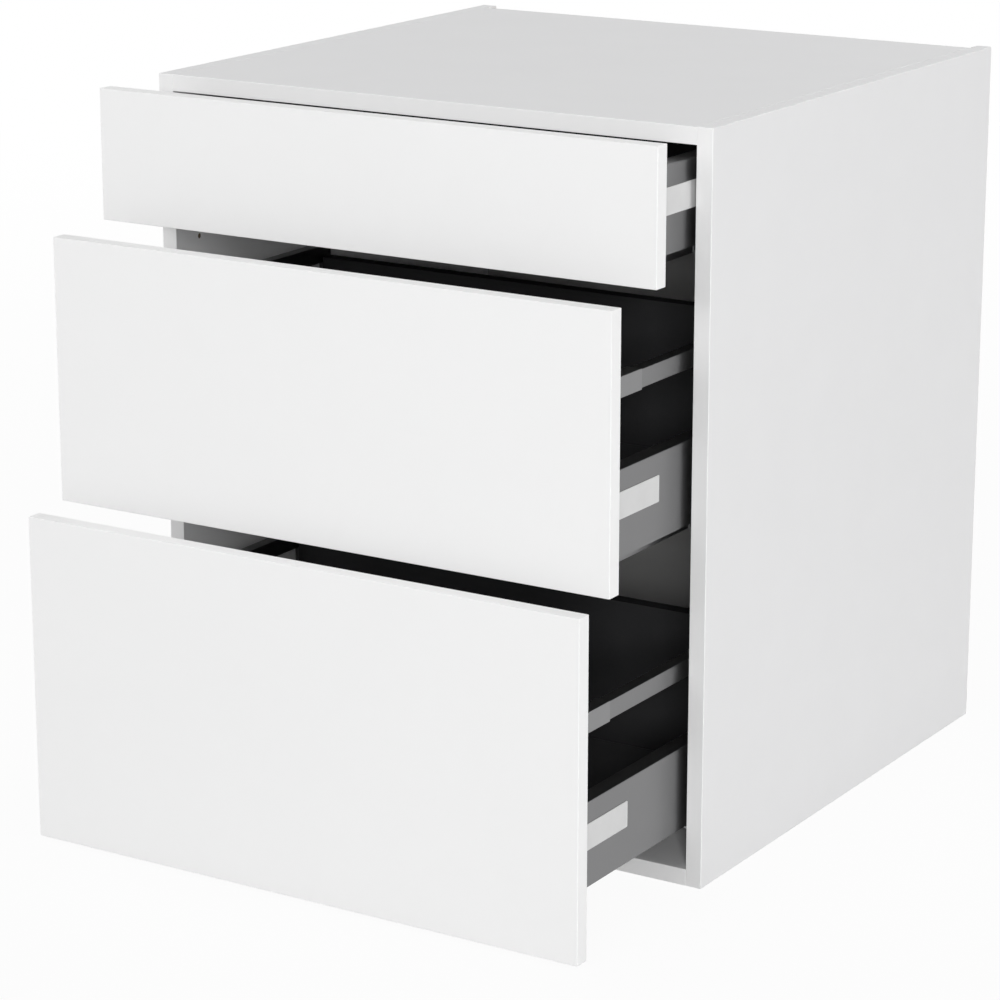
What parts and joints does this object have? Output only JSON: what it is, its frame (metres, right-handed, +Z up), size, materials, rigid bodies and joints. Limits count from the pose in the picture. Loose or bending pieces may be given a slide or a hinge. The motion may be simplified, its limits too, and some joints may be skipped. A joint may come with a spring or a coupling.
{
  "type": "kitchen drawer unit",
  "caption": "Handleless white kitchen base unit whose deep and shallow grey steel-sided drawers slide out on full-extension runners to store kitchenware.",
  "frame": {"origin": "centre of the carcass's underside", "axes": "+X right as seen from the front, +Y from the fronts to the back, +Z up"},
  "size_m": [0.6, 0.798, 0.704],
  "materials": {
    "white_board": "white melamine",
    "white_front": "smooth matt white",
    "back_sheet": "lacquered fibreboard",
    "drawer_board": "dark grey melamine",
    "grey_steel": "powder coat",
    "rail_grey": "powder coat",
    "sleeve_grey": "moulded",
    "runner_steel": "zinc plated",
    "zinc": "zinc plated",
    "dark_bracket": "powder coat",
    "damper_plastic": "moulded",
    "dowel_wood": "fluted beech",
    "badge_plate": "blank plate"
  },
  "bodies": {
    "carcass": {"carcass_side_left": "white_board", "carcass_side_right": "white_board", "top_panel": "white_board", "bottom_panel": "white_board", "back_panel": "back_sheet", "carcass_dowels": "dowel_wood", "cam_bolts": "zinc", "cam_locks": "zinc", "runner_screws": "zinc", "back_screws": "zinc", "soft_close_dampers": "damper_plastic", "runner_fixed_top_left": "runner_steel", "runner_fixed_top_right": "runner_steel", "runner_fixed_middle_left": "runner_steel", "runner_fixed_middle_right": "runner_steel", "runner_fixed_bottom_left": "runner_steel", "runner_fixed_bottom_right": "runner_steel"},
    "drawer_top": {"front_top": "white_front", "drawer_base_top": "drawer_board", "drawer_back_top": "drawer_board", "drawer_side_top_left": "grey_steel", "drawer_side_top_right": "grey_steel", "runner_drawer_top": "runner_steel", "front_brackets_top": "zinc", "rear_brackets_top": "dark_bracket", "drawer_screws_top": "zinc", "badges_top": "badge_plate"},
    "runners_top": {"runner_middle_top": "runner_steel"},
    "drawer_middle": {"front_middle": "white_front", "drawer_base_middle": "drawer_board", "drawer_back_middle": "drawer_board", "drawer_side_middle_left": "grey_steel", "drawer_side_middle_right": "grey_steel", "runner_drawer_middle": "runner_steel", "front_brackets_middle": "zinc", "rear_brackets_middle": "dark_bracket", "drawer_screws_middle": "zinc", "badges_middle": "badge_plate", "rail_middle_left": "rail_grey", "rail_middle_right": "rail_grey", "rail_sleeve_middle_left": "sleeve_grey", "rail_sleeve_middle_right": "sleeve_grey"},
    "runners_middle": {"runner_middle_middle": "runner_steel"},
    "drawer_bottom": {"front_bottom": "white_front", "drawer_base_bottom": "drawer_board", "drawer_back_bottom": "drawer_board", "drawer_side_bottom_left": "grey_steel", "drawer_side_bottom_right": "grey_steel", "runner_drawer_bottom": "runner_steel", "front_brackets_bottom": "zinc", "rear_brackets_bottom": "dark_bracket", "drawer_screws_bottom": "zinc", "badges_bottom": "badge_plate", "rail_bottom_left": "rail_grey", "rail_bottom_right": "rail_grey", "rail_sleeve_bottom_left": "sleeve_grey", "rail_sleeve_bottom_right": "sleeve_grey"},
    "runners_bottom": {"runner_middle_bottom": "runner_steel"}
  },
  "joints": [
    {"name": "drawer_top_slide", "type": "slide", "parent": "carcass", "child": "drawer_top", "axis": [0, -1, 0], "range_m": [-0.075, 0.265]},
    {"name": "runners_top_slide", "type": "slide", "parent": "carcass", "child": "runners_top", "axis": [0, -1, 0], "range_m": [-0.0375, 0.1325]},
    {"name": "drawer_middle_slide", "type": "slide", "parent": "carcass", "child": "drawer_middle", "axis": [0, -1, 0], "range_m": [-0.15, 0.19]},
    {"name": "runners_middle_slide", "type": "slide", "parent": "carcass", "child": "runners_middle", "axis": [0, -1, 0], "range_m": [-0.075, 0.095]},
    {"name": "drawer_bottom_slide", "type": "slide", "parent": "carcass", "child": "drawer_bottom", "axis": [0, -1, 0], "range_m": [-0.2, 0.14]},
    {"name": "runners_bottom_slide", "type": "slide", "parent": "carcass", "child": "runners_bottom", "axis": [0, -1, 0], "range_m": [-0.1, 0.07]}
  ],
  "couplings": [
    {"joint": "runners_top_slide", "follows": "drawer_top_slide", "ratio": 0.5},
    {"joint": "runners_middle_slide", "follows": "drawer_middle_slide", "ratio": 0.5},
    {"joint": "runners_bottom_slide", "follows": "drawer_bottom_slide", "ratio": 0.5}
  ]
}
